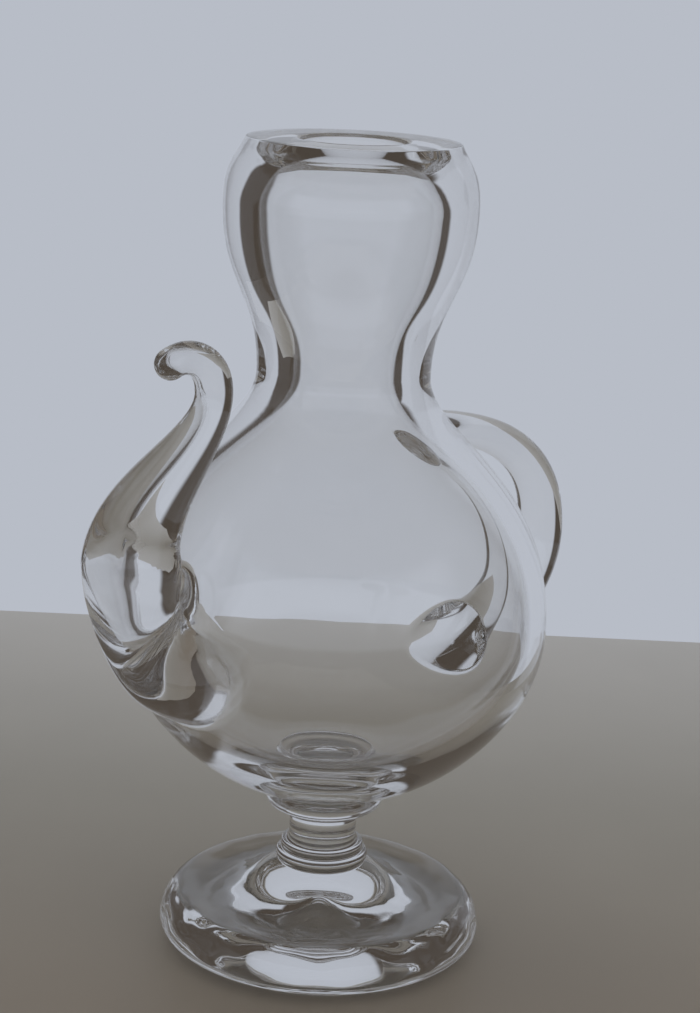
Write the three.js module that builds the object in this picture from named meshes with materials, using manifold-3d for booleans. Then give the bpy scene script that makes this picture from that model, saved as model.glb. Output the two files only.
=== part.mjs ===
// A clear glass vase in the shape of a teapot, made hot from seven gathers of glass:
// a hollow double-bulb body, two collars, a short stem, a round foot, a solid curled
// spout and a solid loop handle.
// Millimetres, +Z up. The origin is the centre of the foot's ground underside, the
// spout points along -X and the handle along +X.
import * as THREE from 'three';
import { mergeVertices } from 'three/addons/utils/BufferGeometryUtils.js';
import Module from 'manifold-3d';

const wasm = await Module();
wasm.setup();

// Foot: a flat ground underside, a thick rounded edge and a domed middle.
// The insets are measured in from the outer edge.
const footRadius = 46.2;
const footEdgeThickness = 14.6;
const footGroundInset = 9.7;
const footTroughInset = 14.7;
const footTroughDepth = 1.1;
const footHeight = 24;

// Lower collar: a bold ring under a slighter one, with a groove between them
const lowerCollarRadius = 13.2;
const lowerCollarStepRadius = 11.9;
const lowerCollarSeatRadius = 12.4;
const lowerCollarRingHeight = 3.6;
const lowerCollarStepHeight = 2.4;
const lowerCollarGroove = 0.3;

// Stem: narrow at its neck, flared where it stands on the lower collar
const stemHeight = 6;
const stemRadius = 9.6;
const stemFlare = 0.9;
const stemNeckHeight = 3.6;

// Upper collar: a dish that opens under the body, with a rounded edge
const upperCollarHeight = 12;
const upperCollarRadius = 16.7;
const upperCollarEdge = 4.6;
const bodySeatRadius = 14;

// Body, outside: globe, waist, upper bulb and ground rim
const globeRadius = 60;
const globeLowerHeight = 48.5;
const shoulderHeight = 70.5;
const waistRadius = 23.8;
const bulbLowerHeight = 45.5;
const bulbRadius = 34.4;
const bulbUpperHeight = 17.5;
const rimRadius = 28.8;

// Body, inside: the wall is thin at the globe and heavy at the floor, waist and lip
const floorThickness = 10;
const floorFlatRadius = 9;
const globeWall = 5.2;
const waistWall = 9.9;
const bulbWall = 9.2;
const bulbWallDrop = 3;
const mouthRadius = 14.6;
const lipThickness = 9;
const lipBevel = 0.6;

// Spout: a solid S-curved rod that spreads into a broad round pad where it is fused to the
// globe. Its belly stands off the globe, its throat is set in from the globe's widest
// radius, and its tip curls out from the throat.
const spoutStandOff = 26;
const spoutRootHeight = 1.9;
const spoutRootRadius = 21;
const spoutRootNeckRadius = 14.8;
const spoutBellyRadius = 12.9;
const spoutBellyHeight = 29.5;
const spoutShoulderRadius = 10.4;
const spoutThroatInset = 13.1;
const spoutThroatRise = 40.5;
const spoutThroatRadius = 5;
const spoutTipReach = 14.9;
const spoutTipRise = 9.3;
const spoutTipRadius = 4.2;

// Handle: a solid loop, slim where it leaves the shoulder and stout where it comes
// back to the globe, and pressed out wide at both roots
const handleStandOff = 35.3;
const handleApexHeight = 13;
const handleApexRadius = 7;
const handleTopHeight = 51.5;
const handleTopRadius = 4.8;
const handleUpperRadius = 6.3;
const handleLowerRadius = 7.6;
const handleFootDrop = 17.5;
const handleFootRadius = 8;

// How much wider than thick a rod is at the start of its root, and how fast that fades
// along the root's curve
const spoutRootFlare = 0.15;
const handleTopFlare = 1.1;
const handleFootFlare = 0.65;
const rootFlareFade = 4;

// How far each end of a rod's curves runs on before it bends
const spoutRootRun = 12.3;
const spoutRootRise = 0.9;
const spoutBellyRunDown = 14.8;
const spoutBellyRunUp = 17;
const spoutThroatRunDown = 13;
const spoutThroatRunUp = 9;
const spoutTipRunBack = 6;
const spoutTipRunUp = 3;
const handleTopRun = 42;
const handleTopFall = 3.2;
const handleApexRunUp = 21;
const handleApexRunDown = 18;
const handleFootRun = 26;
const handleFootRise = 4;

// How full the body's curves are, as shares of the stretch that each one spans
const seatSpread = 0.37;
const globeUnderFullness = 0.52;
const globeOverFullness = 0.62;
const waistUnderLength = 0.24;
const waistOverLength = 0.46;
const bulbUnderFullness = 0.48;
const bulbOverFullness = 0.6;
const rimTuckIn = 0.5;
const rimTuckDown = 0.35;
const cavityLipFullness = 0.55;
const cavityBulbOverFullness = 0.6;
const cavityBulbUnderFullness = 0.5;
const cavityWaistLength = 0.42;
const cavityNeckLength = 0.26;
const cavityGlobeOverFullness = 0.6;
const cavityGlobeUnderFullness = 0.55;
const cavityFloorSpread = 0.5;

// How full the curves of the foot, stem and collars are, as shares of their stretches
const collarNeckLength = 0.35;
const collarDishSpread = 0.4;
const stemFootFullness = 0.25;
const stemNeckFullness = 0.5;
const troughEase = 0.4;
const domeFootSpread = 0.3;
const domeTopSpread = 0.45;
const domeTopFall = 0.25;

// Where the rounded edges begin and end, in degrees up from level
const footEdgeFrom = -75;
const upperCollarEdgeTo = 60;
const lowerRingSpan = 45;
const lowerStepFrom = -20;
const lowerStepTo = 55;

// Fits and facets. The root depths are how far inside the body's surface a rod's curves
// begin and end, before the body cuts them off.
const fuseGap = 0.3;
const spoutRootDepth = 8.3;
const handleRootDepth = 9;
const roundFacets = 48;
const globeUnderSteps = 9;
const shoulderSteps = 11;
const bulbUnderSteps = 8;
const bulbOverSteps = 6;
const cavityLipSteps = 6;
const cavityBulbSteps = 7;
const cavityFloorSteps = 8;
const collarSteps = 5;
const smallSteps = 4;
const footEdgeSteps = 11;
const troughSteps = 3;
const domeSteps = 7;
const spoutSides = 20;
const handleSides = 18;
const stepsPerCurve = 12;
const tipRings = 4;

// Levels up the axis
const lowerCollarLevel = footHeight;
const grooveLevel = lowerCollarLevel + lowerCollarRingHeight;
const stemLevel = grooveLevel + lowerCollarStepHeight;
const upperCollarLevel = stemLevel + stemHeight;
const bodyLevel = upperCollarLevel + upperCollarHeight;
const globeLevel = bodyLevel + globeLowerHeight;
const waistLevel = globeLevel + shoulderHeight;
const bulbLevel = waistLevel + bulbLowerHeight;
const rimLevel = bulbLevel + bulbUpperHeight;

const glassColour = 0xe9eff1;

function glass() {
  return new THREE.MeshStandardMaterial({ color: glassColour, roughness: 0.03, metalness: 0 });
}

function point(radius, level) {
  return new THREE.Vector2(radius, level);
}

// A smooth stretch of profile that leaves and arrives along its two control points
function stretch(from, leave, arrive, to, steps) {
  return new THREE.CubicBezierCurve(from, leave, arrive, to).getPoints(steps);
}

// An arc of profile about a centre, from one angle to another in degrees
function arc(centre, radius, fromDegrees, toDegrees, steps) {
  const points = [];
  for (let i = 0; i <= steps; i++) {
    const angle = THREE.MathUtils.degToRad(fromDegrees + ((toDegrees - fromDegrees) * i) / steps);
    points.push(point(centre.x + radius * Math.cos(angle), centre.y + radius * Math.sin(angle)));
  }
  return points;
}

// Joins stretches of profile, where each may start on the last point of the one before
function join(...stretches) {
  return stretches.flat().filter((p, i, all) => i === 0 || p.distanceTo(all[i - 1]) > 0.01);
}

// A solid of revolution about the Z axis, from a profile that starts and ends on it
function revolve(profile) {
  return new THREE.LatheGeometry(profile, roundFacets).rotateX(Math.PI / 2);
}

function toSolid(geometry) {
  const bare = geometry.clone();
  bare.deleteAttribute('normal');
  bare.deleteAttribute('uv');
  const merged = mergeVertices(bare, 1e-4);
  const mesh = new wasm.Mesh({
    numProp: 3,
    vertProperties: new Float32Array(merged.attributes.position.array),
    triVerts: new Uint32Array(merged.index.array),
  });
  return new wasm.Manifold(mesh);
}

function toGeometry(solid) {
  const mesh = solid.getMesh();
  const geometry = new THREE.BufferGeometry();
  geometry.setAttribute('position', new THREE.BufferAttribute(mesh.vertProperties, 3));
  geometry.setIndex(new THREE.BufferAttribute(mesh.triVerts, 1));
  geometry.computeVertexNormals();
  return geometry;
}

// The outside of the body from its seat on the collar to the edge of the rim
function bodyOutside() {
  const seat = point(bodySeatRadius, bodyLevel);
  const globe = point(globeRadius, globeLevel);
  const waist = point(waistRadius, waistLevel);
  const bulb = point(bulbRadius, bulbLevel);
  const rim = point(rimRadius, rimLevel);
  const underSeat = point(seat.x + seatSpread * (globe.x - seat.x), seat.y);
  const underGlobe = point(globe.x, globe.y - globeUnderFullness * globeLowerHeight);
  const overGlobe = point(globe.x, globe.y + globeOverFullness * shoulderHeight);
  const underWaist = point(waist.x, waist.y - waistUnderLength * shoulderHeight);
  const overWaist = point(waist.x, waist.y + waistOverLength * bulbLowerHeight);
  const underBulb = point(bulb.x, bulb.y - bulbUnderFullness * bulbLowerHeight);
  const overBulb = point(bulb.x, bulb.y + bulbOverFullness * bulbUpperHeight);
  const underRim = point(rim.x + rimTuckIn * (bulb.x - rim.x), rim.y - rimTuckDown * bulbUpperHeight);
  return join(
    stretch(seat, underSeat, underGlobe, globe, globeUnderSteps),
    stretch(globe, overGlobe, underWaist, waist, shoulderSteps),
    stretch(waist, overWaist, underBulb, bulb, bulbUnderSteps),
    stretch(bulb, overBulb, underRim, rim, bulbOverSteps),
  );
}

// The cavity from the mouth down to the middle of the floor
function bodyInside() {
  const lip = point(mouthRadius, rimLevel - lipThickness);
  const bulb = point(bulbRadius - bulbWall, bulbLevel - bulbWallDrop);
  const waist = point(waistRadius - waistWall, waistLevel);
  const globe = point(globeRadius - globeWall, globeLevel);
  const floor = point(floorFlatRadius, bodyLevel + floorThickness);
  const underLip = point(lip.x + cavityLipFullness * (bulb.x - lip.x), lip.y);
  const overBulb = point(bulb.x, bulb.y + cavityBulbOverFullness * (lip.y - bulb.y));
  const underBulb = point(bulb.x, bulb.y - cavityBulbUnderFullness * (bulb.y - waist.y));
  const overWaist = point(waist.x, waist.y + cavityWaistLength * (bulb.y - waist.y));
  const underWaist = point(waist.x, waist.y - cavityNeckLength * shoulderHeight);
  const overGlobe = point(globe.x, globe.y + cavityGlobeOverFullness * shoulderHeight);
  const underGlobe = point(globe.x, globe.y - cavityGlobeUnderFullness * (globe.y - floor.y));
  const overFloor = point(floor.x + cavityFloorSpread * (globe.x - floor.x), floor.y);
  return join(
    [point(mouthRadius + lipBevel, rimLevel), point(mouthRadius, rimLevel - lipBevel)],
    stretch(lip, underLip, overBulb, bulb, cavityLipSteps),
    stretch(bulb, underBulb, overWaist, waist, cavityBulbSteps),
    stretch(waist, underWaist, overGlobe, globe, shoulderSteps),
    stretch(globe, underGlobe, overFloor, floor, cavityFloorSteps),
    [point(0, floor.y)],
  );
}

function body() {
  return revolve(join([point(0, bodyLevel)], bodyOutside(), bodyInside()));
}

function upperCollar() {
  const edgeHalf = upperCollarEdge / 2;
  const edge = point(upperCollarRadius - edgeHalf, bodyLevel - upperCollarEdge);
  const neck = point(stemRadius, upperCollarLevel);
  const underEdge = point(edge.x, edge.y - edgeHalf);
  const overNeck = point(neck.x, neck.y + collarNeckLength * (underEdge.y - neck.y));
  const dish = point(neck.x + collarDishSpread * (underEdge.x - neck.x), underEdge.y);
  return revolve(join(
    [point(0, neck.y)],
    stretch(neck, overNeck, dish, underEdge, collarSteps),
    arc(edge, edgeHalf, -90, upperCollarEdgeTo, collarSteps),
    [point(bodySeatRadius, bodyLevel), point(0, bodyLevel)],
  ));
}

function stem() {
  const foot = point(stemRadius + stemFlare, stemLevel);
  const neck = point(stemRadius, stemLevel + stemNeckHeight);
  const overFoot = point(stemRadius, stemLevel + stemFootFullness * stemNeckHeight);
  const underNeck = point(stemRadius, stemLevel + stemNeckFullness * stemNeckHeight);
  return revolve(join(
    [point(0, stemLevel)],
    stretch(foot, overFoot, underNeck, neck, smallSteps),
    [point(stemRadius, upperCollarLevel), point(0, upperCollarLevel)],
  ));
}

function lowerCollar() {
  const ringHalf = lowerCollarRingHeight / 2;
  const stepHalf = lowerCollarStepHeight / 2;
  const ring = point(lowerCollarRadius - ringHalf, lowerCollarLevel + ringHalf);
  const step = point(lowerCollarStepRadius - stepHalf, grooveLevel + stepHalf);
  return revolve(join(
    [point(0, lowerCollarLevel), point(lowerCollarSeatRadius, lowerCollarLevel)],
    arc(ring, ringHalf, -lowerRingSpan, lowerRingSpan, collarSteps),
    [point(lowerCollarStepRadius - lowerCollarGroove, grooveLevel)],
    arc(step, stepHalf, lowerStepFrom, lowerStepTo, smallSteps),
    [point(stemRadius + stemFlare, stemLevel), point(0, stemLevel)],
  ));
}

function foot() {
  const edgeHalf = footEdgeThickness / 2;
  const edge = point(footRadius - edgeHalf, edgeHalf);
  const edgeTop = point(edge.x, footEdgeThickness);
  const trough = point(footRadius - footTroughInset, footEdgeThickness - footTroughDepth);
  const domeTop = point(lowerCollarSeatRadius, footHeight);
  const overTrough = point(trough.x + troughEase * (edgeTop.x - trough.x), trough.y);
  const fromEdge = point(edgeTop.x - troughEase * (edgeTop.x - trough.x), edgeTop.y);
  const domeReach = trough.x - domeTop.x;
  const domeRise = domeTop.y - trough.y;
  const domeFoot = point(trough.x - domeFootSpread * domeReach, trough.y);
  const domeShoulder = point(domeTop.x + domeTopSpread * domeReach, domeTop.y - domeTopFall * domeRise);
  return revolve(join(
    [point(0, 0), point(footRadius - footGroundInset, 0)],
    arc(edge, edgeHalf, footEdgeFrom, 90, footEdgeSteps),
    stretch(edgeTop, fromEdge, overTrough, trough, troughSteps),
    stretch(trough, domeFoot, domeShoulder, domeTop, domeSteps),
    [point(0, footHeight)],
  ));
}

// The body's outside grown by the gap, as a filled solid that cuts the ends of the rods
function bodyCutter() {
  const outside = bodyOutside();
  const grown = outside.map((p, i) => {
    const before = outside[Math.max(i - 1, 0)];
    const after = outside[Math.min(i + 1, outside.length - 1)];
    const along = after.clone().sub(before).normalize();
    return point(p.x + fuseGap * along.y, p.y - fuseGap * along.x);
  });
  const bottom = point(0, grown[0].y);
  const top = point(0, grown[grown.length - 1].y);
  return toSolid(revolve([bottom, ...grown, top]));
}

// The body's outer radius at a level, between the points of its outside
function bodyRadiusAt(level) {
  const outside = bodyOutside();
  const i = outside.findIndex((p) => p.y >= level);
  const high = outside[i];
  const low = outside[i - 1];
  return low.x + ((high.x - low.x) * (level - low.y)) / (high.y - low.y);
}

// A place on a rod: how far out from the axis, how high, and the rod's radius there
function place(out, level, radius) {
  return new THREE.Vector3(out, level, radius);
}

// The rings of a rod that follows Bezier curves of places in the XZ plane. widthAt gives
// how much wider than thick the rod is, for a curve's number plus the share along it.
function rodRings(curves, widthAt) {
  const rings = [];
  const nudge = 0.001;
  curves.forEach((curve, c) => {
    for (let i = c === 0 ? 0 : 1; i <= stepsPerCurve; i++) {
      const t = i / stepsPerCurve;
      const at = curve.getPoint(t);
      const ahead = curve.getPoint(Math.min(t + nudge, 1)).sub(curve.getPoint(Math.max(t - nudge, 0)));
      const along = new THREE.Vector2(ahead.x, ahead.y).normalize();
      rings.push({ out: at.x, level: at.y, along, radius: at.z, width: at.z * widthAt(c + t) });
    }
  });
  return rings;
}

// More rings that round the last end of a rod into half a ball
function roundEnd(last) {
  const rings = [];
  for (let i = 1; i <= tipRings; i++) {
    const angle = ((i / tipRings) * Math.PI) / 2;
    const ahead = last.radius * Math.sin(angle);
    const shrink = i < tipRings ? Math.cos(angle) : 0;
    rings.push({
      out: last.out + last.along.x * ahead,
      level: last.level + last.along.y * ahead,
      along: last.along,
      radius: last.radius * shrink,
      width: last.width * shrink,
    });
  }
  return rings;
}

// Skins a run of rings and closes both ends with a fan to the middle of the end ring
function skin(rings, sides) {
  const positions = [];
  const indices = [];
  for (const ring of rings) {
    for (let s = 0; s < sides; s++) {
      const angle = (2 * Math.PI * s) / sides;
      const off = ring.radius * Math.cos(angle);
      const across = ring.width * Math.sin(angle);
      positions.push(ring.out - ring.along.y * off, across, ring.level + ring.along.x * off);
    }
  }
  const firstMiddle = positions.length / 3;
  for (const ring of [rings[0], rings[rings.length - 1]]) {
    positions.push(ring.out, 0, ring.level);
  }
  const lastRing = (rings.length - 1) * sides;
  for (let s = 0; s < sides; s++) {
    const next = (s + 1) % sides;
    indices.push(firstMiddle, s, next);
    indices.push(firstMiddle + 1, lastRing + next, lastRing + s);
    for (let below = 0; below < lastRing; below += sides) {
      const above = below + sides;
      indices.push(below + s, above + next, below + next, below + s, above + s, above + next);
    }
  }
  const geometry = new THREE.BufferGeometry();
  geometry.setAttribute('position', new THREE.Float32BufferAttribute(positions, 3));
  geometry.setIndex(indices);
  return geometry;
}

// The extra share of width that a root has, at a share of its curve away from its start
function flare(amount, away) {
  return amount * Math.max(0, 1 - away) ** rootFlareFade;
}

// Built towards +X, like the handle, and turned to -X where it is placed
function spout(cutter) {
  const rootLevel = globeLevel + spoutRootHeight;
  const bellyOut = globeRadius + spoutStandOff - spoutBellyRadius;
  const bellyLevel = globeLevel + spoutBellyHeight;
  const throatOut = globeRadius - spoutThroatInset;
  const throatLevel = bellyLevel + spoutThroatRise;
  const tipOut = throatOut + spoutTipReach;
  const tipLevel = throatLevel + spoutTipRise;
  const root = place(bodyRadiusAt(rootLevel) - spoutRootDepth, rootLevel, spoutRootRadius);
  const belly = place(bellyOut, bellyLevel, spoutBellyRadius);
  const throat = place(throatOut, throatLevel, spoutThroatRadius);
  const tip = place(tipOut, tipLevel, spoutTipRadius);
  const curves = [
    new THREE.CubicBezierCurve3(
      root,
      place(root.x + spoutRootRun, rootLevel + spoutRootRise, spoutRootNeckRadius),
      place(bellyOut, bellyLevel - spoutBellyRunDown, spoutBellyRadius),
      belly,
    ),
    new THREE.CubicBezierCurve3(
      belly,
      place(bellyOut, bellyLevel + spoutBellyRunUp, spoutShoulderRadius),
      place(throatOut, throatLevel - spoutThroatRunDown, spoutThroatRadius),
      throat,
    ),
    new THREE.CubicBezierCurve3(
      throat,
      place(throatOut, throatLevel + spoutThroatRunUp, spoutThroatRadius),
      place(tipOut - spoutTipRunBack, tipLevel + spoutTipRunUp, spoutTipRadius),
      tip,
    ),
  ];
  const rings = rodRings(curves, (t) => 1 + flare(spoutRootFlare, t));
  const whole = skin([...rings, ...roundEnd(rings[rings.length - 1])], spoutSides);
  return toGeometry(toSolid(whole).subtract(cutter));
}

function handle(cutter) {
  const topLevel = globeLevel + handleTopHeight;
  const apexOut = globeRadius + handleStandOff - handleApexRadius;
  const apexLevel = globeLevel + handleApexHeight;
  const footLevel = globeLevel - handleFootDrop;
  const top = place(bodyRadiusAt(topLevel) - handleRootDepth, topLevel, handleTopRadius);
  const apex = place(apexOut, apexLevel, handleApexRadius);
  const end = place(bodyRadiusAt(footLevel) - handleRootDepth, footLevel, handleFootRadius);
  const curves = [
    new THREE.CubicBezierCurve3(
      top,
      place(top.x + handleTopRun, topLevel - handleTopFall, handleTopRadius),
      place(apexOut, apexLevel + handleApexRunUp, handleUpperRadius),
      apex,
    ),
    new THREE.CubicBezierCurve3(
      apex,
      place(apexOut, apexLevel - handleApexRunDown, handleLowerRadius),
      place(end.x + handleFootRun, footLevel + handleFootRise, handleFootRadius),
      end,
    ),
  ];
  const widthAt = (t) => 1 + flare(handleTopFlare, t) + flare(handleFootFlare, curves.length - t);
  const rings = rodRings(curves, widthAt);
  return toGeometry(toSolid(skin(rings, handleSides)).subtract(cutter));
}

function piece(name, geometry) {
  const mesh = new THREE.Mesh(geometry, glass());
  mesh.name = name;
  return mesh;
}

const cutter = bodyCutter();
const turnedSpout = piece('spout', spout(cutter));
turnedSpout.rotation.z = Math.PI;

const vase = new THREE.Group();
vase.add(piece('body', body()));
vase.add(piece('upper_collar', upperCollar()));
vase.add(piece('stem', stem()));
vase.add(piece('lower_collar', lowerCollar()));
vase.add(piece('foot', foot()));
vase.add(piece('handle', handle(cutter)));
vase.add(turnedSpout);

export default vase;
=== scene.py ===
import math

import bpy
import numpy as np
from mathutils import Matrix, Vector, geometry


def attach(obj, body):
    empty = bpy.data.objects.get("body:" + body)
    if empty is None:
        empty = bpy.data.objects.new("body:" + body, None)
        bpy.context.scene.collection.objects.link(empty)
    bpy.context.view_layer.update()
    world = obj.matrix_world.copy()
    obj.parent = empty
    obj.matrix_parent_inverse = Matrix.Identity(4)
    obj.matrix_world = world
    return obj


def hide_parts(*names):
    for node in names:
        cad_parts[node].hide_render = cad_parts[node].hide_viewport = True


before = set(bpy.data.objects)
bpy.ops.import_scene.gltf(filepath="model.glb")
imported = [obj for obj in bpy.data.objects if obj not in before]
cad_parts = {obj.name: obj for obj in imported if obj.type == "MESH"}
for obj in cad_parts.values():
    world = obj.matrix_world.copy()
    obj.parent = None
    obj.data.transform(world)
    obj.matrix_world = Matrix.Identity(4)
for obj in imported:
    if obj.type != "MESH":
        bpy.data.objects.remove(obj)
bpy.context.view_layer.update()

# The vase is in millimetres, as in the CAD, and its meshes are made in metres. The stage is in metres.
MM = 0.001

# Levels up the axis where one gather of glass meets the next
COLLAR_LEVEL = 24.0
STEM_LEVEL = 30.0
UPPER_COLLAR_LEVEL = 36.0
BODY_LEVEL = 48.0
RIM_LEVEL = 230.0

# The foot, pressed up underneath to a blunt point inside a flat ground ring
HOLLOW_HEIGHT = 7.4
GROUND_INSIDE = 22.5
GROUND_OUTSIDE = 33.5
FOOT_RADIUS = 46.2
FOOT_EDGE_LEVEL = 5.5
FOOT_TOP_RADIUS = 38.9
FOOT_TOP_LEVEL = 14.6
DOME_RADIUS = 31.5
DOME_LEVEL = 13.5
DOME_TOP_RADIUS = 12.4

# The lower collar's two rings, the stem, and the rounded edge of the upper collar
LOWER_RING = (11.4, 25.8)
LOWER_RING_RADIUS = 1.8
RING_GROOVE = (11.6, 27.6)
UPPER_RING = (10.7, 28.8)
UPPER_RING_RADIUS = 1.2
STEM_END_RADIUS = 10.5
STEM_RADIUS = 9.6
STEM_WAIST_LEVEL = 33.6
COLLAR_EDGE = (14.4, 43.4)
COLLAR_EDGE_RADIUS = 2.3

# The outside of the body
SEAT_RADIUS = 14.0
GLOBE_RADIUS = 60.0
GLOBE_LEVEL = 96.5
WAIST_RADIUS = 23.8
WAIST_LEVEL = 167.0
BULB_RADIUS = 34.4
BULB_LEVEL = 212.5
RIM_RADIUS = 28.8

# The mouth and the cavity
MOUTH_RADIUS = 14.6
MOUTH_BEVEL = 0.7
CEILING_LEVEL = 226.7
CAVITY_BULB_RADIUS = 24.8
CAVITY_BULB_LEVEL = 211.8
CAVITY_WAIST_RADIUS = 13.9
CAVITY_GLOBE_RADIUS = 54.7
FLOOR_RADIUS = 10.0
FLOOR_LEVEL = 56.0

# The spout's middle line and its radius, the share by which its pad is wider, and the pinch above it.
# Both fade between two places on its first curve, which runs from 0 at the root to 1 at the belly.
SPOUT_REACH = 73.1
SPOUT_ROOT_LEVEL = GLOBE_LEVEL + 1.9
SPOUT_ROOT_DEPTH = 8.3
SPOUT_ROOT_RADIUS = 21.0
SPOUT_ROOT_FLARE = 0.2
SPOUT_PINCH = 0.52
PAD_END = (0.15, 0.42)
PINCH_END = (0.46, 1.0)
BELLY_LEVEL = 126.0
BELLY_RADIUS = 12.9
THROAT_REACH = 46.9
THROAT_LEVEL = 166.5
THROAT_RADIUS = 5.0
TIP_REACH = 61.8
TIP_LEVEL = 175.8
TIP_RADIUS = 4.2

# The handle's middle line and its radius, and the shares by which its two roots are wider
HANDLE_REACH = 88.27
HANDLE_ROOT_DEPTH = 9.0
HANDLE_TOP_LEVEL = GLOBE_LEVEL + 51.5
HANDLE_TOP_RADIUS = 4.8
HANDLE_TOP_FLARE = 1.1
HANDLE_APEX_LEVEL = 109.5
HANDLE_APEX_RADIUS = 7.0
HANDLE_FOOT_LEVEL = GLOBE_LEVEL - 17.5
HANDLE_FOOT_RADIUS = 10.5
HANDLE_FOOT_FLARE = 1.0
FLARE_FADE = 4

# The fillets where a rod is fused on. The spout's is wide in the crook above its root.
WELD_SIZE = 1.8
CROOK_WELD_EXTRA = 6.2
CROOK_FADE = 1.3
FILLET_HOLD = 0.6

# The low waves that the tools left in the foot. Each is a share of their height, the number of
# waves round the foot, the radians per millimetre across its edge, and the start in radians.
FOOT_WAVE_HEIGHT = 0.07
FOOT_WAVES = ((1.0, 7, 0.35, 0.0), (0.7, 13, -0.5, 2.1), (0.4, 23, 0.6, 4.0))

# The waves come in over these radii, and go out over these levels and where the glass faces down
WAVE_RADII = (16, 30)
WAVE_LEVELS = (15, 20)
WAVE_FACING = (-0.4, 0.3)

# Where the outside of the body begins, just above its seat
BODY_START = BODY_LEVEL + 0.05

# Fineness of the outline
OUTLINE_STEP = 0.2
SOFTENING = 0.3
LONGEST_STEP = 2.2
LARGEST_TURN = math.radians(7)

# Fineness of the meshes
SEGMENTS = 144
SPOUT_SIDES = 48
SPOUT_STEPS = 96
TIP_STEPS = 10
HANDLE_SIDES = 44
HANDLE_STEPS = 84
WELD_STEPS = 10
WELD_MARGIN = 4.0
WELD_CLEARANCE = 0.7

# Steps of the search for where a rod meets the body, and the small steps that slopes are taken over
SCAN_STEPS = 1200
HALVINGS = 40
NUDGE = 1e-3
WAVE_NUDGE = 0.01


def rise(t, start, end):
    """0 before start and 1 after end, with a soft change between."""
    u = np.clip((np.asarray(t, float) - start) / (end - start), 0, 1)
    return u * u * (3 - 2 * u)


def bezier(p0, p1, p2, p3, steps=60):
    t = np.linspace(0, 1, steps + 1)[:, None]
    p0, p1, p2, p3 = (np.array(p, float) for p in (p0, p1, p2, p3))
    return (1 - t) ** 3 * p0 + 3 * (1 - t) ** 2 * t * p1 + 3 * (1 - t) * t ** 2 * p2 + t ** 3 * p3


def arc(centre, radius, start, end, steps=24):
    a = np.radians(np.linspace(start, end, steps + 1))
    return np.stack([centre[0] + radius * np.cos(a), centre[1] + radius * np.sin(a)], 1)


def line(*points):
    return np.array(points, float)


# The outline of the turned glass, as (radius, level). Bare numbers are control points and angles.

def foot_outline():
    """From the middle of the underside, over the ground ring and the edge, to the top of the dome."""
    return [
        bezier((0, HOLLOW_HEIGHT), (3.6, HOLLOW_HEIGHT), (6.2, 0.2), (GROUND_INSIDE, 0)),
        line((GROUND_INSIDE, 0), (GROUND_OUTSIDE, 0)),
        bezier((GROUND_OUTSIDE, 0), (40.6, 0), (FOOT_RADIUS, 2.4), (FOOT_RADIUS, FOOT_EDGE_LEVEL)),
        bezier((FOOT_RADIUS, FOOT_EDGE_LEVEL), (FOOT_RADIUS, 10.5),
               (42.9, FOOT_TOP_LEVEL), (FOOT_TOP_RADIUS, FOOT_TOP_LEVEL)),
        bezier((FOOT_TOP_RADIUS, FOOT_TOP_LEVEL), (35.94, FOOT_TOP_LEVEL),
               (34.46, DOME_LEVEL), (DOME_RADIUS, DOME_LEVEL)),
        bezier((DOME_RADIUS, DOME_LEVEL), (22, DOME_LEVEL), (17.5, 21.8), (DOME_TOP_RADIUS, COLLAR_LEVEL)),
    ]


def stem_outline():
    """Up the lower collar, the stem and the upper collar to the body's seat."""
    collar_under = COLLAR_EDGE[1] - COLLAR_EDGE_RADIUS
    return [
        arc(LOWER_RING, LOWER_RING_RADIUS, -45, 45),
        line(RING_GROOVE),
        arc(UPPER_RING, UPPER_RING_RADIUS, -20, 55),
        bezier((STEM_END_RADIUS, STEM_LEVEL), (STEM_RADIUS, 30.9), (STEM_RADIUS, 31.8),
               (STEM_RADIUS, STEM_WAIST_LEVEL)),
        bezier((STEM_RADIUS, UPPER_COLLAR_LEVEL), (STEM_RADIUS, 37.8),
               (11.5, collar_under), (COLLAR_EDGE[0], collar_under)),
        arc(COLLAR_EDGE, COLLAR_EDGE_RADIUS, -90, 60),
        line((SEAT_RADIUS, BODY_LEVEL)),
    ]


def body_outline():
    """Up the outside of the body from its seat to the edge of the rim."""
    return [
        bezier((SEAT_RADIUS, BODY_LEVEL), (31.02, BODY_LEVEL),
               (GLOBE_RADIUS, 71.28), (GLOBE_RADIUS, GLOBE_LEVEL), 90),
        bezier((GLOBE_RADIUS, GLOBE_LEVEL), (GLOBE_RADIUS, 140.21),
               (WAIST_RADIUS, 150.08), (WAIST_RADIUS, WAIST_LEVEL), 110),
        bezier((WAIST_RADIUS, WAIST_LEVEL), (WAIST_RADIUS, 187.93),
               (BULB_RADIUS, 190.66), (BULB_RADIUS, BULB_LEVEL), 80),
        bezier((BULB_RADIUS, BULB_LEVEL), (BULB_RADIUS, 223), (31.6, 223.88), (RIM_RADIUS, RIM_LEVEL), 60),
    ]


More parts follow.
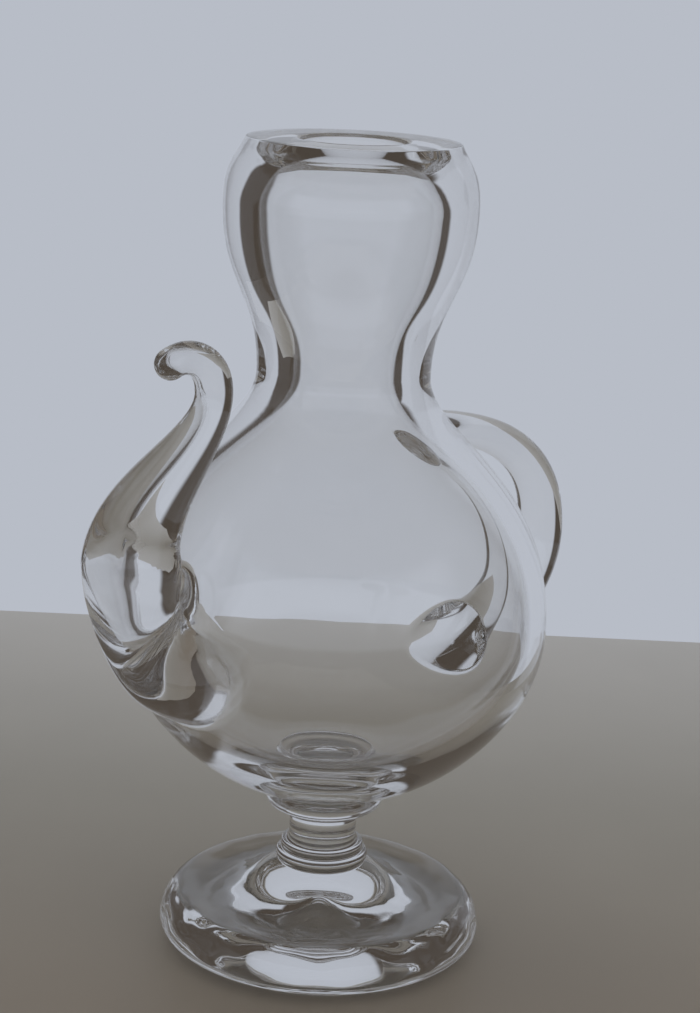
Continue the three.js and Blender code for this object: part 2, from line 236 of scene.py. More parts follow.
def cavity_outline():
    """Across the rim, down the mouth and the cavity to the middle of its floor."""
    return [
        line((MOUTH_RADIUS + MOUTH_BEVEL, RIM_LEVEL), (MOUTH_RADIUS, RIM_LEVEL - MOUTH_BEVEL),
             (MOUTH_RADIUS, CEILING_LEVEL)),
        bezier((MOUTH_RADIUS, CEILING_LEVEL), (20.6, 222.7),
               (CAVITY_BULB_RADIUS, 218.7), (CAVITY_BULB_RADIUS, CAVITY_BULB_LEVEL)),
        bezier((CAVITY_BULB_RADIUS, CAVITY_BULB_LEVEL), (CAVITY_BULB_RADIUS, 190.5),
               (CAVITY_WAIST_RADIUS, 183.8), (CAVITY_WAIST_RADIUS, WAIST_LEVEL), 80),
        bezier((CAVITY_WAIST_RADIUS, WAIST_LEVEL), (CAVITY_WAIST_RADIUS, 148.67),
               (CAVITY_GLOBE_RADIUS, 138.8), (CAVITY_GLOBE_RADIUS, GLOBE_LEVEL), 110),
        bezier((CAVITY_GLOBE_RADIUS, GLOBE_LEVEL), (CAVITY_GLOBE_RADIUS, 75.9),
               (31.3, FLOOR_LEVEL), (FLOOR_RADIUS, FLOOR_LEVEL), 90),
        line((0, FLOOR_LEVEL)),
    ]


def drop_repeats(points):
    keep = [0]
    for i in range(1, len(points)):
        if np.linalg.norm(points[i] - points[keep[-1]]) > 1e-6:
            keep.append(i)
    return points[keep]


def lengths_along(points):
    return np.concatenate([[0], np.cumsum(np.linalg.norm(np.diff(points, axis=0), axis=1))])


def resample(points, step):
    s = lengths_along(points)
    at = np.linspace(0, s[-1], int(round(s[-1] / step)) + 1)
    return np.stack([np.interp(at, s, points[:, 0]), np.interp(at, s, points[:, 1])], 1)


def soften(points, step, sigma):
    """Rounds every corner a little, as fire polishing does. The two ends stay on the axis."""
    reach = int(math.ceil(4 * sigma / step))
    weights = np.exp(-0.5 * (np.arange(-reach, reach + 1) * step / sigma) ** 2)
    weights /= weights.sum()
    mirrored_start = points[1:reach + 1][::-1] * [-1, 1]
    mirrored_end = points[-reach - 1:-1][::-1] * [-1, 1]
    padded = np.concatenate([mirrored_start, points, mirrored_end])
    out = np.stack([np.convolve(padded[:, k], weights, "valid") for k in (0, 1)], 1)
    out[0, 0] = 0
    out[-1, 0] = 0
    return out


def thin_out(points):
    """Indices of the points that a mesh needs: close together where the outline turns."""
    d = np.diff(points, axis=0)
    length = np.linalg.norm(d, axis=1)
    angle = np.unwrap(np.arctan2(d[:, 1], d[:, 0]))
    keep = [0]
    run = 0.0
    turn = 0.0
    for i in range(1, len(points) - 1):
        run += length[i - 1]
        turn += abs(angle[i] - angle[i - 1])
        if run > LONGEST_STEP or turn > LARGEST_TURN:
            keep.append(i)
            run = 0.0
            turn = 0.0
    keep.append(len(points) - 1)
    return keep


def outline_normals(points):
    d = np.gradient(points, axis=0)
    n = np.stack([d[:, 1], -d[:, 0]], 1)
    return n / np.linalg.norm(n, axis=1)[:, None]


stretches = foot_outline() + stem_outline() + body_outline() + cavity_outline()
outline = drop_repeats(np.concatenate(stretches))
outline = soften(resample(outline, OUTLINE_STEP), OUTLINE_STEP, SOFTENING)
outline_facing = outline_normals(outline)
outline_length = lengths_along(outline)
rim_index = int(np.argmax(outline[:, 1]))
seat_index = int(np.argmax(outline[:, 1] > BODY_START))
outer = outline[seat_index:rim_index + 1]


def outer_radius(level):
    return np.interp(level, outer[:, 1], outer[:, 0])


def land(points):
    """The nearest places on the outside of the body: points, normals and lengths along the outline."""
    radius = np.hypot(points[:, 0], points[:, 1])
    turn = np.arctan2(points[:, 1], points[:, 0])
    a = outer[:-1]
    d = outer[1:] - a
    placed = []
    normals = []
    lengths = []
    for r, z, t in zip(radius, points[:, 2], turn):
        share = np.clip(((r - a[:, 0]) * d[:, 0] + (z - a[:, 1]) * d[:, 1]) / (d ** 2).sum(1), 0, 1)
        near = a + share[:, None] * d
        k = int(np.argmin((near[:, 0] - r) ** 2 + (near[:, 1] - z) ** 2))
        n0 = outline_facing[seat_index + k]
        n1 = outline_facing[seat_index + k + 1]
        n = n0 + share[k] * (n1 - n0)
        n = n / np.linalg.norm(n)
        placed.append((near[k, 0] * math.cos(t), near[k, 0] * math.sin(t), near[k, 1]))
        normals.append((n[0] * math.cos(t), n[0] * math.sin(t), n[1]))
        lengths.append(outline_length[seat_index + k] + share[k] * np.linalg.norm(d[k]))
    return np.array(placed), np.array(normals), np.array(lengths)


class Rod:
    """A solid rod that follows Bezier curves of (out, level, radius) on one side of the body."""

    def __init__(self, curves, side, width_at, sides):
        self.curves = [np.array(c, float) for c in curves]
        self.side = side
        self.width_at = width_at
        self.angles = 2 * math.pi * np.arange(sides) / sides
        self.end = float(len(curves))

    def middle(self, t):
        t = np.clip(np.asarray(t, float), 0, self.end)
        c = np.minimum(t.astype(int), len(self.curves) - 1)
        u = (t - c)[..., None]
        p = np.stack(self.curves)[c]
        return ((1 - u) ** 3 * p[..., 0, :] + 3 * (1 - u) ** 2 * u * p[..., 1, :]
                + 3 * (1 - u) * u ** 2 * p[..., 2, :] + u ** 3 * p[..., 3, :])

    def along(self, t):
        d = self.middle(np.minimum(t + NUDGE, self.end)) - self.middle(np.maximum(t - NUDGE, 0))
        return d[..., :2] / np.linalg.norm(d[..., :2], axis=-1)[..., None]

    def skin(self, t, angle, shrink=1.0, ahead=0.0):
        """Points on the rod's surface, with the distance ahead and the shrinking of a rounded end."""
        m = self.middle(t)
        a = self.along(t)
        off = m[..., 2] * shrink * np.cos(angle)
        across = m[..., 2] * self.width_at(t) * shrink * np.sin(angle)
        x = m[..., 0] + a[..., 0] * ahead - a[..., 1] * off
        z = m[..., 1] + a[..., 1] * ahead + a[..., 0] * off
        return np.stack([self.side * x, self.side * across, z], -1)

    def outward(self, t, angle):
        m = self.skin(t, angle) - self.skin(t, angle, shrink=0.0)
        return m / np.linalg.norm(m, axis=-1)[..., None]

    def crossing(self, angle, inside, outside):
        """Where one line along the rod's skin passes the body's surface, between two places on it."""
        for _ in range(HALVINGS):
            mid = 0.5 * (inside + outside)
            p = self.skin(np.array(mid), angle)
            if math.hypot(p[0], p[1]) < outer_radius(p[2]):
                inside = mid
            else:
                outside = mid
        return outside

    def weld(self, at_start, sizes):
        """A fillet at one end: for each line of the skin, points from the body out to the rod."""
        away = 1 if at_start else -1
        scan = np.linspace(0, self.end, SCAN_STEPS)[::away]
        begins = []
        corners = []
        tangents = []
        for angle, size in zip(self.angles, sizes):
            p = self.skin(scan, angle)
            k = int(np.argmax(np.hypot(p[:, 0], p[:, 1]) > outer_radius(p[:, 2])))
            t = self.crossing(angle, scan[k - 1], scan[k])
            corner = self.skin(np.array(t), angle)
            corners.append(corner)
            tangents.append(self.outward(np.array(t), angle))
            speed = np.linalg.norm(self.skin(np.array(t + away * NUDGE), angle) - corner) / NUDGE
            begins.append(t + away * size / speed)
        corners, corner_normals, _ = land(np.array(corners))
        tangents = np.array(tangents)
        slide = tangents - (tangents * corner_normals).sum(1)[:, None] * corner_normals
        slide /= np.linalg.norm(slide, axis=1)[:, None]
        feet, foot_normals, foot_lengths = land(corners + sizes[:, None] * slide)
        starts = self.skin(np.array(begins), self.angles)
        near_feet = feet + FILLET_HOLD * (corners - feet)
        near_starts = starts + FILLET_HOLD * (corners - starts)
        rows = []
        for i in range(WELD_STEPS + 1):
            u = i / WELD_STEPS
            rows.append((1 - u) ** 3 * feet + 3 * (1 - u) ** 2 * u * near_feet
                        + 3 * (1 - u) * u ** 2 * near_starts + u ** 3 * starts)
        return {"rows": rows, "begins": np.array(begins), "normals": foot_normals, "lengths": foot_lengths}


def grid_normals(grid, first=None, last=None):
    """Vertex normals of a tube of rings, which point away from its middle."""
    ahead = np.empty_like(grid)
    ahead[1:-1] = grid[2:] - grid[:-2]
    ahead[0] = grid[1] - grid[0]
    ahead[-1] = grid[-1] - grid[-2]
    around = np.roll(grid, -1, axis=1) - np.roll(grid, 1, axis=1)
    n = np.cross(around, ahead)
    size = np.linalg.norm(n, axis=-1)[..., None]
    n = n / np.maximum(size, 1e-12)
    middle = grid.mean(axis=1, keepdims=True)
    if ((grid - middle) * n).sum() < 0:
        n = -n
    if first is not None:
        n[0] = first
    if last is not None:
        n[-1] = last
    return n


def tube_faces(rings, sides):
    faces = []
    for r in range(rings - 1):
        for s in range(sides):
            a = r * sides + s
            b = r * sides + (s + 1) % sides
            faces.append((a, b, b + sides, a + sides))
    return faces


def turn_outwards(points, normals, faces):
    """Flips the faces of a tube if they look the other way from its normals."""
    agree = 0.0
    for f in faces:
        p = points[list(f)]
        agree += np.dot(np.cross(p[1] - p[0], p[2] - p[0]), normals[list(f)].mean(0))
    return faces if agree > 0 else [tuple(reversed(f)) for f in faces]


# The two rods

def flare(amount, away):
    """The extra share of width that a root has, which fades along the root's curve."""
    return amount * np.maximum(0, 1 - away) ** FLARE_FADE


def spout_width(t):
    """The spout stands on a low broad pad, is pressed in just above it and is round from its belly on."""
    off_pad = rise(t, *PAD_END)
    at_belly = rise(t, *PINCH_END)
    return 1 + SPOUT_ROOT_FLARE * (1 - off_pad) - SPOUT_PINCH * (off_pad - at_belly)


def handle_width(t):
    return 1 + flare(HANDLE_TOP_FLARE, t) + flare(HANDLE_FOOT_FLARE, 2 - t)


def root(level, depth, radius):
    """The end of a rod, which reaches a depth into the body so that the skins cross."""
    return outer_radius(level) - depth, level, radius


def make_spout_rod():
    start = root(SPOUT_ROOT_LEVEL, SPOUT_ROOT_DEPTH, SPOUT_ROOT_RADIUS)
    belly = (SPOUT_REACH, BELLY_LEVEL, BELLY_RADIUS)
    throat = (THROAT_REACH, THROAT_LEVEL, THROAT_RADIUS)
    tip = (TIP_REACH, TIP_LEVEL, TIP_RADIUS)
    curves = [
        [start, (start[0] + 12.3, start[1] + 0.9, 14.8), (SPOUT_REACH, 111.2, BELLY_RADIUS), belly],
        [belly, (SPOUT_REACH, 143.0, 10.4), (THROAT_REACH, 153.5, THROAT_RADIUS), throat],
        [throat, (THROAT_REACH, 175.5, THROAT_RADIUS), (55.8, 178.8, TIP_RADIUS), tip],
    ]
    return Rod(curves, side=-1, width_at=spout_width, sides=SPOUT_SIDES)


def make_handle_rod():
    top = root(HANDLE_TOP_LEVEL, HANDLE_ROOT_DEPTH, HANDLE_TOP_RADIUS)
    apex = (HANDLE_REACH, HANDLE_APEX_LEVEL, HANDLE_APEX_RADIUS)
    bottom = root(HANDLE_FOOT_LEVEL, HANDLE_ROOT_DEPTH, HANDLE_FOOT_RADIUS)
    curves = [
        [top, (top[0] + 42, top[1] - 3.2, HANDLE_TOP_RADIUS), (HANDLE_REACH, 130.5, 6.3), apex],
        [apex, (HANDLE_REACH, 91.5, 7.6), (bottom[0] + 26, bottom[1] + 4, 6.4), bottom],
    ]
    return Rod(curves, side=1, width_at=handle_width, sides=HANDLE_SIDES)


spout_rod = make_spout_rod()
spout_crook = (1 + np.cos(spout_rod.angles)) / 2
spout_weld = spout_rod.weld(True, WELD_SIZE + CROOK_WELD_EXTRA * spout_crook ** CROOK_FADE)
handle_rod = make_handle_rod()
handle_top_weld = handle_rod.weld(True, np.full(HANDLE_SIDES, WELD_SIZE))
handle_foot_weld = handle_rod.weld(False, np.full(HANDLE_SIDES, WELD_SIZE))


def spout_mesh():
    """From the edge of the fillet along the rod to a half-round tip."""
    rows = list(spout_weld["rows"])
    begins = spout_weld["begins"]
    for i in range(1, SPOUT_STEPS + 1):
        t = begins + (spout_rod.end - begins) * i / SPOUT_STEPS
        rows.append(spout_rod.skin(t, spout_rod.angles))
    ends = np.full(SPOUT_SIDES, spout_rod.end)
    for i in range(1, TIP_STEPS):
        a = 0.5 * math.pi * i / TIP_STEPS
        rows.append(spout_rod.skin(ends, spout_rod.angles, math.cos(a), TIP_RADIUS * math.sin(a)))
    grid = np.stack(rows)
    normals = grid_normals(grid, first=spout_weld["normals"])
    end = np.array(spout_rod.end)
    tip = spout_rod.skin(end, 0.0, 0.0, TIP_RADIUS)
    along = spout_rod.along(end)
    points = np.concatenate([grid.reshape(-1, 3), tip[None]])
    all_normals = np.concatenate([normals.reshape(-1, 3), [[-along[0], 0, along[1]]]])
    faces = tube_faces(len(rows), SPOUT_SIDES)
    last = (len(rows) - 1) * SPOUT_SIDES
    for s in range(SPOUT_SIDES):
        faces.append((last + s, last + (s + 1) % SPOUT_SIDES, len(points) - 1))
    return points, all_normals, turn_outwards(points, all_normals, faces)


def handle_mesh():
    """From the edge of the upper fillet round the loop to the edge of the lower one."""
    rows = list(handle_top_weld["rows"])
    begins = handle_top_weld["begins"]
    ends = handle_foot_weld["begins"]
    for i in range(1, HANDLE_STEPS):
        t = begins + (ends - begins) * i / HANDLE_STEPS
        rows.append(handle_rod.skin(t, handle_rod.angles))
    rows.extend(reversed(handle_foot_weld["rows"]))
    grid = np.stack(rows)
    normals = grid_normals(grid, handle_top_weld["normals"], handle_foot_weld["normals"])
    faces = tube_faces(len(rows), HANDLE_SIDES)
    points = grid.reshape(-1, 3)
    all_normals = normals.reshape(-1, 3)
    return points, all_normals, turn_outwards(points, all_normals, faces)


# The turned glass, cut open where the rods are fused on

def inside_loop(loop, x, y):
    """Whether each place lies inside a closed loop of places."""
    hit = np.zeros(len(x), bool)
    for (x0, y0), (x1, y1) in zip(loop, np.roll(loop, -1, axis=0)):
        if y0 == y1:
            continue
        crosses = (y0 > y) != (y1 > y)
        hit ^= crosses & (x < (x1 - x0) * (y - y0) / (y1 - y0) + x0)
    return hit


def distance_to_loop(loop, x, y):
    best = np.full(len(x), np.inf)
    for a, b in zip(loop, np.roll(loop, -1, axis=0)):
        d = b - a
        share = np.clip(((x - a[0]) * d[0] + (y - a[1]) * d[1]) / (d @ d), 0, 1)
        best = np.minimum(best, np.hypot(x - a[0] - share * d[0], y - a[1] - share * d[1]))
    return best


def foot_waves(turn, along):
    """Waves round the foot and across its edge, by the turn and the length along the outline."""
    total = 0.0
    for share, round_the_foot, across, start in FOOT_WAVES:
        total = total + share * np.sin(round_the_foot * turn + across * along + start)
    return FOOT_WAVE_HEIGHT * total


def make_waves(radius, level, out, rises, turn, along):
    """Moves rings of the outline by the foot's waves and turns their normals to suit."""
    share = rise(radius, *WAVE_RADII) * (1 - rise(level, *WAVE_LEVELS)) * rise(rises, *WAVE_FACING)
    height = share * foot_waves(turn, along)
    change_along = foot_waves(turn, along + WAVE_NUDGE) - foot_waves(turn, along - WAVE_NUDGE)
    change_round = foot_waves(turn + WAVE_NUDGE, along) - foot_waves(turn - WAVE_NUDGE, along)
    slope_along = share * change_along / (2 * WAVE_NUDGE)
    slope_round = share * change_round / (2 * WAVE_NUDGE) / np.maximum(radius, 1)
    r = radius + out * height
    z = level + rises * height
    tilted_out = out + rises * slope_along
    tilted_up = rises - out * slope_along
    normal = np.stack([
        tilted_out * np.cos(turn) + slope_round * np.sin(turn),
        tilted_out * np.sin(turn) - slope_round * np.cos(turn),
        tilted_up,
    ], -1)
    points = np.stack([r * np.cos(turn), r * np.sin(turn), z], -1)
    return points, normal / np.linalg.norm(normal, axis=-1)[..., None]


class Lathe:
    """The turned surface of the vase, with openings where the rods are welded on."""

    def __init__(self):
        rings = thin_out(outline)[1:-1]
        turn = 2 * math.pi * np.arange(SEGMENTS) / SEGMENTS
        radius, level = outline[rings].T[..., None]
        out, rises = outline_facing[rings].T[..., None]
        self.ring_lengths = outline_length[rings]
        points, normals = make_waves(radius, level, out, rises, turn, self.ring_lengths[:, None])
        ends = np.array([[0, 0, outline[0, 1]], [0, 0, outline[-1, 1]]])
        self.points = [points.reshape(-1, 3), ends]
        self.normals = [normals.reshape(-1, 3), np.array([[0, 0, -1.0], [0, 0, 1.0]])]
        self.rings = len(rings)
        self.count = self.rings * SEGMENTS + len(ends)
        self.removed = np.zeros((self.rings - 1, SEGMENTS), bool)
        self.faces = []

    def weld(self, weld, middle_turn):
        """Cuts an opening for a rod and fills round it up to the edge of the rod's fillet."""
        feet = weld["rows"][0]
        turn = np.arctan2(feet[:, 1], feet[:, 0]) - middle_turn
        turn = (turn + math.pi) % (2 * math.pi) - math.pi
        scale = np.hypot(feet[:, 0], feet[:, 1]).mean()
        loop = np.stack([turn * scale, weld["lengths"]], 1)
        first = int(np.searchsorted(self.ring_lengths, loop[:, 1].min() - WELD_MARGIN)) - 1
        last = int(np.searchsorted(self.ring_lengths, loop[:, 1].max() + WELD_MARGIN))
        cell = 2 * math.pi / SEGMENTS
        reach = int(math.ceil((abs(turn).max() + WELD_MARGIN / scale) / cell))
        columns = np.arange(-reach, reach + 1)
        base = int(round(middle_turn / cell))
        offset = base * cell - middle_turn

        rows, across = np.meshgrid(np.arange(first, last + 1), columns, indexing="ij")
        x = ((across * cell + offset) * scale).ravel()
        y = self.ring_lengths[rows].ravel()
        ids = (rows * SEGMENTS + (base + across) % SEGMENTS).ravel()
        clear = ~inside_loop(loop, x, y) & (distance_to_loop(loop, x, y) > WELD_CLEARANCE)
        ids = np.concatenate([ids[clear], self.count + np.arange(len(loop))])
        self.points.append(feet)
        self.normals.append(weld["normals"])
        self.count += len(loop)

        places = np.concatenate([np.stack([x[clear], y[clear]], 1), loop])
        start = len(places) - len(loop)
        edges = [(start + i, start + (i + 1) % len(loop)) for i in range(len(loop))]
        filled = geometry.delaunay_2d_cdt([Vector(p) for p in places], edges, [], 0, 1e-6, True)
        new_places, _, triangles, sources = filled[:4]
        flat = np.array([(p.x, p.y) for p in new_places])
        for triangle in triangles:
            middle = flat[list(triangle)].mean(0)
            if not inside_loop(loop, middle[:1], middle[1:])[0]:
                self.faces.append(tuple(int(ids[sources[v][0]]) for v in triangle))
        for j in range(first, last):
            self.removed[j, (base + columns[:-1]) % SEGMENTS] = True

    def finish(self):
        faces = list(self.faces)
        for j in range(self.rings - 1):
            for s in range(SEGMENTS):
                if not self.removed[j, s]:
                    a = j * SEGMENTS + s
                    b = j * SEGMENTS + (s + 1) % SEGMENTS
                    faces.append((a, b, b + SEGMENTS, a + SEGMENTS))
        bottom = self.rings * SEGMENTS
        top = bottom + 1
        last = (self.rings - 1) * SEGMENTS
        for s in range(SEGMENTS):
            n = (s + 1) % SEGMENTS
            faces.append((bottom, n, s))
            faces.append((top, last + s, last + n))
        return np.concatenate(self.points), np.concatenate(self.normals), faces


def add_piece(name, points, normals, faces, material):
    """A mesh object in metres, smooth, with its normals set from the true surface."""
    used = sorted({v for f in faces for v in f})
    where = {v: i for i, v in enumerate(used)}
    mesh = bpy.data.meshes.new(name)
    mesh.from_pydata((points[used] * MM).tolist(), [], [tuple(where[v] for v in f) for f in faces])
    mesh.polygons.foreach_set("use_smooth", [True] * len(mesh.polygons))
    mesh.normals_split_custom_set_from_vertices(normals[used].tolist())
    mesh.materials.append(material)
    mesh.validate(clean_customdata=False)
    obj = bpy.data.objects.new(name, mesh)
    bpy.context.scene.collection.objects.link(obj)
    return obj


# The photographed view, in metres: azimuth -45 degrees, a camera 0.576 m away and 0.284 m up
AZIMUTH = math.radians(-45)
DISTANCE = 0.57617
HEIGHT = 0.28362
PITCH = math.radians(15.009)
YAW = math.radians(0.347)
ROLL = math.radians(2.75)
FOCAL_PIXELS = 2150.0
IMAGE_HEIGHT = 1013.0
SENSOR = 36.0
level_view = Vector((-math.sin(AZIMUTH), math.cos(AZIMUTH), 0))
level_right = Vector((math.cos(AZIMUTH), math.sin(AZIMUTH), 0))
up = Vector((0, 0, 1))

# The table top ends a little way behind the vase. Its colour is painted paler from a little in front of
# the vase to its back edge, as painted sheen and back light, and it is its own brown in front of that
EDGE_BEHIND = 0.287
PAINTED_SHEEN_START = -0.05
TABLE_LEFT = 0.31
TABLE_RIGHT = 0.175
TABLE_DEPTH = 0.9
TABLE_THICKNESS = 0.03
GAP_UNDER_FOOT = 0.0002

# Materials

def new_material(name):
    material = bpy.data.materials.new(name)
    material.use_nodes = True
    nodes = material.node_tree.nodes
    nodes.clear()
    output = nodes.new("ShaderNodeOutputMaterial")
    shader = nodes.new("ShaderNodeBsdfPrincipled")
    material.node_tree.links.new(shader.outputs["BSDF"], output.inputs["Surface"])
    return material, nodes, material.node_tree.links, shader


def clear_glass():
    """Clear fire-polished glass: faint grey tint in cords, slow waves from the tools, light wipe marks."""
    material, nodes, links, shader = new_material("clear_glass")
    shader.inputs["Transmission Weight"].default_value = 1.0
    shader.inputs["IOR"].default_value = 1.5
    where = nodes.new("ShaderNodeTexCoord")

    cords = nodes.new("ShaderNodeTexNoise")
    cords.inputs["Scale"].default_value = 28.0
    cords.inputs["Detail"].default_value = 2.0
    cords.inputs["Distortion"].default_value = 1.2
    tint = nodes.new("ShaderNodeValToRGB")
    tint.color_ramp.elements[0].position = 0.35
    tint.color_ramp.elements[0].color = (0.985, 0.984, 0.98, 1)
    tint.color_ramp.elements[1].position = 0.7
    tint.color_ramp.elements[1].color = (1.0, 0.998, 0.995, 1)
    links.new(where.outputs["Object"], cords.inputs["Vector"])
    links.new(cords.outputs["Fac"], tint.inputs["Fac"])
    links.new(tint.outputs["Color"], shader.inputs["Base Color"])

    wipes = nodes.new("ShaderNodeTexNoise")
    wipes.inputs["Scale"].default_value = 90.0
    wipes.inputs["Detail"].default_value = 4.0
    wipe_range = nodes.new("ShaderNodeMapRange")
    wipe_range.inputs["From Min"].default_value = 0.45
    wipe_range.inputs["From Max"].default_value = 0.8
    wipe_range.inputs["To Min"].default_value = 0.0
    wipe_range.inputs["To Max"].default_value = 0.035
    links.new(where.outputs["Object"], wipes.inputs["Vector"])
    links.new(wipes.outputs["Fac"], wipe_range.inputs["Value"])
    links.new(wipe_range.outputs["Result"], shader.inputs["Roughness"])

    waves = nodes.new("ShaderNodeTexNoise")
    waves.inputs["Scale"].default_value = 42.0
    waves.inputs["Detail"].default_value = 1.0
    bump = nodes.new("ShaderNodeBump")
    bump.inputs["Strength"].default_value = 0.18
    bump.inputs["Distance"].default_value = 0.0006
    links.new(where.outputs["Object"], waves.inputs["Vector"])
    links.new(waves.outputs["Fac"], bump.inputs["Height"])
    links.new(bump.outputs["Normal"], shader.inputs["Normal"])
    return material


def table_top():
    """A plain warm-grey table top with faint mottling, its own brown towards the front, painted paler
    towards its back edge as painted sheen and back light.
    """
    material, nodes, links, shader = new_material("table_top")
    where = nodes.new("ShaderNodeTexCoord")
    depth = nodes.new("ShaderNodeVectorMath")
    depth.operation = "DOT_PRODUCT"
    depth.inputs[1].default_value = level_view
    links.new(where.outputs["Object"], depth.inputs[0])
    place = nodes.new("ShaderNodeMapRange")
    place.inputs["From Min"].default_value = PAINTED_SHEEN_START
    place.inputs["From Max"].default_value = EDGE_BEHIND
    links.new(depth.outputs["Value"], place.inputs["Value"])
    # Painted sheen and back light: the colour fades from the table's own brown in front of the vase to a
    # pale grey at the back edge
    painted_sheen_ramp = nodes.new("ShaderNodeValToRGB")
    painted_sheen_ramp.color_ramp.elements[0].color = (0.257, 0.207, 0.158, 1)
    painted_sheen_ramp.color_ramp.elements[1].color = (0.463, 0.430, 0.400, 1)
    middle = painted_sheen_ramp.color_ramp.elements.new(0.44)
    middle.color = (0.31, 0.276, 0.232, 1)
    links.new(place.outputs["Result"], painted_sheen_ramp.inputs["Fac"])
    mottle = nodes.new("ShaderNodeTexNoise")
    mottle.inputs["Scale"].default_value = 14.0
    mottle.inputs["Detail"].default_value = 5.0
    tone = nodes.new("ShaderNodeValToRGB")
    tone.color_ramp.elements[0].color = (0.94, 0.94, 0.94, 1)
    tone.color_ramp.elements[1].color = (1.06, 1.06, 1.06, 1)
    links.new(where.outputs["Object"], mottle.inputs["Vector"])
    links.new(mottle.outputs["Fac"], tone.inputs["Fac"])
    blend = nodes.new("ShaderNodeVectorMath")
    blend.operation = "MULTIPLY"
    links.new(painted_sheen_ramp.outputs["Color"], blend.inputs[0])
    links.new(tone.outputs["Color"], blend.inputs[1])
    links.new(blend.outputs["Vector"], shader.inputs["Base Color"])
    shader.inputs["Roughness"].default_value = 0.55
    return material


# The vase

glass = clear_glass()
lathe = Lathe()
lathe.weld(spout_weld, math.pi)
lathe.weld(handle_top_weld, 0.0)
lathe.weld(handle_foot_weld, 0.0)
points, normals, faces = lathe.finish()
middles = np.array([points[list(f)][:, 2].mean() for f in faces])
levels = {
    "foot": (-1, COLLAR_LEVEL),
    "lower_collar": (COLLAR_LEVEL, STEM_LEVEL),
    "stem": (STEM_LEVEL, UPPER_COLLAR_LEVEL),
    "upper_collar": (UPPER_COLLAR_LEVEL, BODY_LEVEL),
    "body": (BODY_LEVEL, RIM_LEVEL + 1),
}
pieces = {}
for node, (low, high) in levels.items():
    chosen = [f for f, z in zip(faces, middles) if low <= z < high]
    pieces[node] = add_piece(node + "_glass", points, normals, chosen, glass)
pieces["spout"] = add_piece("spout_glass", *spout_mesh(), glass)
pieces["handle"] = add_piece("handle_glass", *handle_mesh(), glass)
for node, piece in pieces.items():
    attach(piece, "root")
    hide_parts(node)


# The camera

def make_camera():
    turned_view = level_view * math.cos(YAW) + level_right * math.sin(YAW)
    turned_right = level_right * math.cos(YAW) - level_view * math.sin(YAW)
    view = turned_view * math.cos(PITCH) - up * math.sin(PITCH)
    view_up = up * math.cos(PITCH) + turned_view * math.sin(PITCH)
    right = turned_right * math.cos(ROLL) + view_up * math.sin(ROLL)
    rolled_up = view_up * math.cos(ROLL) - turned_right * math.sin(ROLL)
    data = bpy.data.cameras.new("camera")
    data.sensor_fit = "VERTICAL"
    data.sensor_height = SENSOR
    data.lens = FOCAL_PIXELS / IMAGE_HEIGHT * SENSOR
    data.clip_start = 0.01
    obj = bpy.data.objects.new("camera", data)
    placed = Matrix((right, rolled_up, -view)).transposed().to_4x4()
    placed.translation = -level_view * DISTANCE + up * HEIGHT
    obj.matrix_world = placed
    bpy.context.scene.collection.objects.link(obj)
    return obj


bpy.context.scene.camera = make_camera()


# The table

def make_table():
    back = level_view * EDGE_BEHIND
    front = level_view * (EDGE_BEHIND - TABLE_DEPTH)
    corners = [
        back - level_right * TABLE_LEFT,
        back + level_right * TABLE_RIGHT,
        front + level_right * TABLE_RIGHT,
        front - level_right * TABLE_LEFT,
    ]
    top = [tuple(c - up * GAP_UNDER_FOOT) for c in corners]
    bottom = [tuple(c - up * (GAP_UNDER_FOOT + TABLE_THICKNESS)) for c in corners]
    mesh = bpy.data.meshes.new("table_top")
    mesh.from_pydata(top + bottom, [], [
        (3, 2, 1, 0), (4, 5, 6, 7), (0, 1, 5, 4), (1, 2, 6, 5), (2, 3, 7, 6), (3, 0, 4, 7)])
    mesh.materials.append(table_top())
    obj = bpy.data.objects.new("table_top", mesh)
    bpy.context.scene.collection.objects.link(obj)
    return obj


table = make_table()


# Light, with lamps that are aimed at the middle of the vase

VASE_MIDDLE = Vector((0, 0, 0.1))


def area_light(name, place, size, power, colour):
    """A soft lamp that shows neither to the camera nor in the glass."""
    data = bpy.data.lights.new(name, "AREA")
    data.shape = "RECTANGLE"
    data.size, data.size_y = size
    data.energy = power
    data.color = colour
    obj = bpy.data.objects.new(name, data)
    obj.location = place
    obj.rotation_euler = (VASE_MIDDLE - place).to_track_quat("-Z", "Y").to_euler()
    obj.visible_camera = False
    obj.visible_glossy = False
    obj.visible_transmission = False
    bpy.context.scene.collection.objects.link(obj)


back_place = VASE_MIDDLE + level_view * 0.9 - level_right * 0.5 + up * 1.3
fill_place = VASE_MIDDLE - level_view * 0.9 + level_right * 1.2 + up * 1.1
area_light("back_lamp", back_place, size=(1.0, 0.7), power=1.6, colour=(0.95, 0.98, 1.0))
area_light("fill_lamp", fill_place, size=(0.9, 0.9), power=1.0, colour=(1.0, 0.97, 0.93))

# The surroundings: a plain pale backdrop behind the table for a stretch on each side of the
# photographed view, and another above table level behind the camera. The rest of the room is dim.
BACKDROP = (0.479, 0.509, 0.571, 1)
ROOM = (0.068, 0.056, 0.046, 1)
DAYLIGHT = (0.80, 0.85, 0.9, 1)
DAYLIGHT_STRENGTH = 0.82

# Edges of the backdrops: bearings in radians to the right of the view, and heights of a direction
BACKDROP_LEFT = math.radians(-28)
BACKDROP_RIGHT = math.radians(52)
BACKDROP_SOFTNESS = 0.05
BEHIND_CAMERA = (1.75, 1.95)
TABLE_HORIZON = (-0.05, -0.01)
BACKDROP_TOP = (0.5, 0.62)
world = bpy.data.worlds.new("world")
bpy.context.scene.world = world
world.use_nodes = True
nodes = world.node_tree.nodes
links = world.node_tree.links
nodes.clear()


def link_value(node, index, value):
    if isinstance(value, (int, float)):
        node.inputs[index].default_value = value
    else:
        links.new(value, node.inputs[index])


def math_node(operation, a, b=0.0):
    node = nodes.new("ShaderNodeMath")
    node.operation = operation
    link_value(node, 0, a)
    link_value(node, 1, b)
    return node.outputs[0]


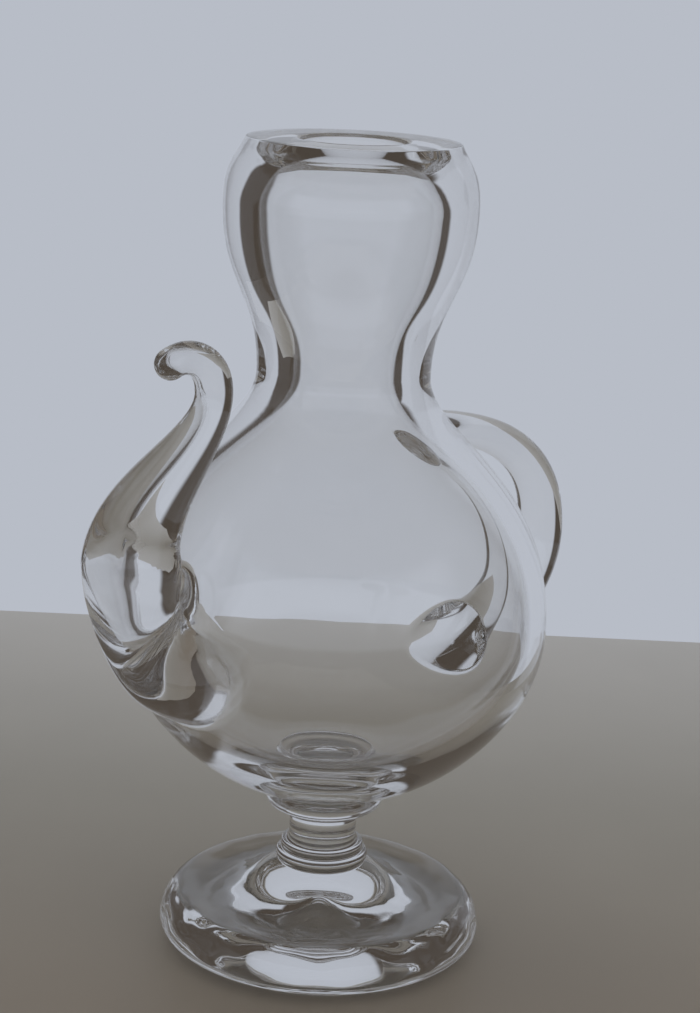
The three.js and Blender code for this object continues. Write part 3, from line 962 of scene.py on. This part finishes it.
def ramp(value, start, end):
    """0 below start and 1 above end, with a soft change between."""
    node = nodes.new("ShaderNodeMapRange")
    node.interpolation_type = "SMOOTHSTEP"
    links.new(value, node.inputs["Value"])
    node.inputs["From Min"].default_value = start
    node.inputs["From Max"].default_value = end
    return node.outputs["Result"]


def share_along(direction):
    node = nodes.new("ShaderNodeVectorMath")
    node.operation = "DOT_PRODUCT"
    links.new(where.outputs["Generated"], node.inputs[0])
    node.inputs[1].default_value = direction
    return node.outputs["Value"]


where = nodes.new("ShaderNodeTexCoord")
height = share_along((0, 0, 1))
bearing = math_node("ARCTAN2", share_along(level_right), share_along(level_view))
past_left = ramp(bearing, BACKDROP_LEFT - BACKDROP_SOFTNESS, BACKDROP_LEFT + BACKDROP_SOFTNESS)
past_right = ramp(bearing, BACKDROP_RIGHT - BACKDROP_SOFTNESS, BACKDROP_RIGHT + BACKDROP_SOFTNESS)
ahead_of_camera = math_node("MULTIPLY", past_left, math_node("SUBTRACT", 1.0, past_right))
turned_back = ramp(math_node("ABSOLUTE", bearing), *BEHIND_CAMERA)
behind_camera = math_node("MULTIPLY", turned_back, ramp(height, *TABLE_HORIZON))
below_top = math_node("SUBTRACT", 1.0, ramp(height, *BACKDROP_TOP))
pale = math_node("MULTIPLY", math_node("MAXIMUM", ahead_of_camera, behind_camera), below_top)
surroundings = nodes.new("ShaderNodeValToRGB")
surroundings.color_ramp.elements[0].color = ROOM
surroundings.color_ramp.elements[1].color = BACKDROP
links.new(pale, surroundings.inputs["Fac"])

# The camera and the glass see the surroundings, and all else is lit by an even daylight
path = nodes.new("ShaderNodeLightPath")
seen = math_node("MAXIMUM", path.outputs["Is Camera Ray"], path.outputs["Is Transmission Ray"])
seen = math_node("MAXIMUM", seen, path.outputs["Is Glossy Ray"])
before_diffuse = math_node("LESS_THAN", path.outputs["Diffuse Depth"], 0.5)
backdrop = nodes.new("ShaderNodeBackground")
links.new(surroundings.outputs["Color"], backdrop.inputs["Color"])
lighting = nodes.new("ShaderNodeBackground")
lighting.inputs["Color"].default_value = DAYLIGHT
lighting.inputs["Strength"].default_value = DAYLIGHT_STRENGTH
choose = nodes.new("ShaderNodeMixShader")
links.new(math_node("MULTIPLY", seen, before_diffuse), choose.inputs["Fac"])
links.new(lighting.outputs[0], choose.inputs[1])
links.new(backdrop.outputs[0], choose.inputs[2])
output = nodes.new("ShaderNodeOutputWorld")
links.new(choose.outputs[0], output.inputs["Surface"])

scene = bpy.context.scene
scene.view_settings.view_transform = "Standard"
# Light that enters at the root of a rod can run all the way round inside the wall of the globe
scene.cycles.max_bounces = 80
scene.cycles.transmission_bounces = 32
scene.cycles.glossy_bounces = 64
